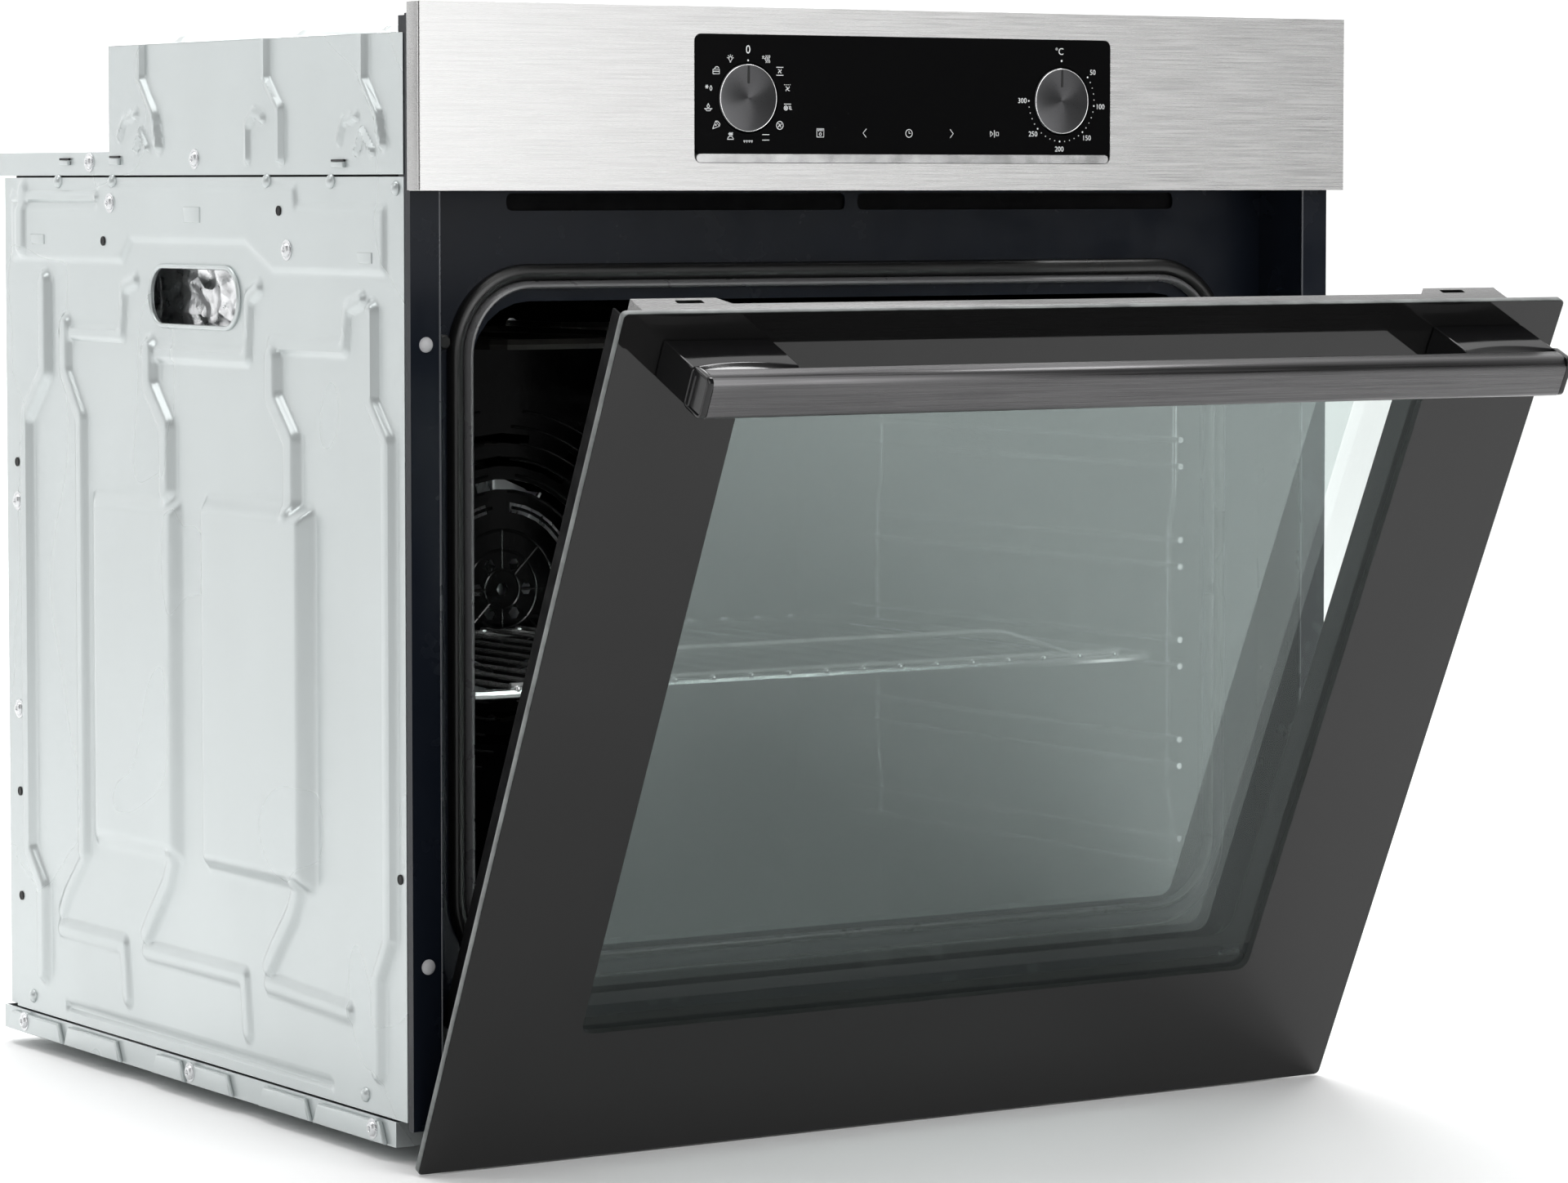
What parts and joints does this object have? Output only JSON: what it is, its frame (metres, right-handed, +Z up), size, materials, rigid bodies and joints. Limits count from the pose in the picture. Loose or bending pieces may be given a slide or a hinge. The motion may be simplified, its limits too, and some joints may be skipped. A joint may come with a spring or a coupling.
{
  "type": "wall oven",
  "caption": "Built-in electric wall oven with drop-down glass door, brushed control panel, recessed knobs, fan cavity and sheet-steel housing; door ajar.",
  "frame": {"origin": "centre of the housing's flat underside, on the surface the oven rests on in its cabinet", "axes": "the door and control panel face -Y, +X is to the right seen from the front, +Z is up"},
  "size_m": [0.595, 0.7679, 0.6011],
  "materials": {
    "galvanised_steel": "bright zinc-coated sheet, faint mottled sheen",
    "black_enamel": "glossy baked black enamel",
    "frame_enamel": "satin blue-black enamel",
    "brushed_panel": "horizontal brushed grain",
    "dark_handle": "dark horizontal brushed grain",
    "spun_knob": "dark, turned radial sheen",
    "bright_wire": "polished chrome wire",
    "rubber_black": "matt black silicone",
    "panel_glass": "deep gloss black display cover",
    "front_pane": "tinted clear window in an opaque black printed border",
    "inner_pane": "clear toughened pane",
    "lamp_glass": "clear",
    "gloss_black": "piano black",
    "matt_black": "fine matt",
    "grey_trim": "satin light grey",
    "circuit_board": "green solder mask",
    "foil": "glass wool under crinkled aluminium foil",
    "heater": "dull dark oxide on steel sheath",
    "bare_aluminium": "mill finish"
  },
  "bodies": {
    "housing": {"base_plate": "galvanised_steel", "side_panel_left": "galvanised_steel", "side_panel_right": "galvanised_steel", "back_panel": "galvanised_steel", "top_plate": "galvanised_steel", "upper_cover": "galvanised_steel", "front_frame": "frame_enamel", "cavity_liner": "black_enamel", "insulation": "foil", "door_gasket": "rubber_black", "door_buffer_left": "rubber_black", "door_buffer_right": "rubber_black", "fan_cover": "black_enamel", "fan_motor": "galvanised_steel", "ring_element": "heater", "grill_element": "heater", "bottom_element": "heater", "lamp_housing": "bare_aluminium", "lamp_bulb": "lamp_glass", "lamp_lens": "lamp_glass", "temperature_probe": "bright_wire", "shelf_rack_left": "bright_wire", "shelf_rack_right": "bright_wire", "air_duct": "galvanised_steel", "cooling_fan_casing": "galvanised_steel", "cooling_fan_motor": "galvanised_steel", "terminal_box": "matt_black", "control_panel": "brushed_panel", "display_lens": "panel_glass", "display_trim": "bright_wire", "control_carrier": "matt_black", "control_board": "circuit_board", "function_switch": "matt_black", "temperature_switch": "matt_black", "hinge_casing_left": "galvanised_steel", "hinge_casing_right": "galvanised_steel", "hinge_spring_left": "galvanised_steel", "hinge_spring_right": "galvanised_steel"},
    "door": {"outer_glass": "front_pane", "middle_glass": "inner_pane", "inner_glass": "inner_pane", "door_column_left": "frame_enamel", "door_column_right": "frame_enamel", "door_top_trim": "grey_trim", "door_bottom_rail": "frame_enamel", "handle_bar": "dark_handle", "handle_bracket_left": "gloss_black", "handle_bracket_right": "gloss_black", "hinge_arm_left": "galvanised_steel", "hinge_arm_right": "galvanised_steel"},
    "function_spindle_body": {"function_spindle": "bare_aluminium"},
    "function_knob_body": {"function_knob": "spun_knob"},
    "temperature_spindle_body": {"temperature_spindle": "bare_aluminium"},
    "temperature_knob_body": {"temperature_knob": "spun_knob"},
    "oven_fan": {"fan_wheel": "bare_aluminium"},
    "cooling_fan": {"cooling_rotor": "bare_aluminium"},
    "shelf": {"wire_shelf": "bright_wire"},
    "left_spring_rod": {"spring_rod_left": "galvanised_steel"},
    "right_spring_rod": {"spring_rod_right": "galvanised_steel"}
  },
  "joints": [
    {"name": "door_hinge", "type": "hinge", "parent": "housing", "child": "door", "pos_m": [0, -0.2709, 0.0267], "axis": [1, 0, 0], "range_deg": [-24.9, 65.1]},
    {"name": "left_rod_slide", "type": "slide", "parent": "housing", "child": "left_spring_rod", "axis": [0, 1, 0], "range_m": [-0.0105, 0.0042]},
    {"name": "right_rod_slide", "type": "slide", "parent": "housing", "child": "right_spring_rod", "axis": [0, 1, 0], "range_m": [-0.0105, 0.0042]},
    {"name": "function_turn", "type": "hinge", "parent": "housing", "child": "function_spindle_body", "pos_m": [-0.1012, -0.296, 0.5463], "axis": [0, 1, 0], "continuous": true},
    {"name": "function_push", "type": "slide", "parent": "function_spindle_body", "child": "function_knob_body", "axis": [0, -1, 0], "range_m": [0, 0.016]},
    {"name": "temperature_turn", "type": "hinge", "parent": "housing", "child": "temperature_spindle_body", "pos_m": [0.1012, -0.296, 0.5463], "axis": [0, 1, 0], "range_deg": [0, 270]},
    {"name": "temperature_push", "type": "slide", "parent": "temperature_spindle_body", "child": "temperature_knob_body", "axis": [0, -1, 0], "range_m": [0, 0.016]},
    {"name": "oven_fan_spin", "type": "hinge", "parent": "housing", "child": "oven_fan", "pos_m": [0, 0.174, 0.256], "axis": [0, 1, 0], "continuous": true},
    {"name": "cooling_fan_spin", "type": "hinge", "parent": "housing", "child": "cooling_fan", "pos_m": [0, -0.049, 0.541], "axis": [1, 0, 0], "continuous": true},
    {"name": "shelf_slide", "type": "slide", "parent": "housing", "child": "shelf", "axis": [0, -1, 0], "range_m": [0, 0.11]}
  ],
  "couplings": [
    {"joint": "left_rod_slide", "follows": "door_hinge", "m_per_rad": -0.009},
    {"joint": "right_rod_slide", "follows": "door_hinge", "m_per_rad": -0.009}
  ]
}
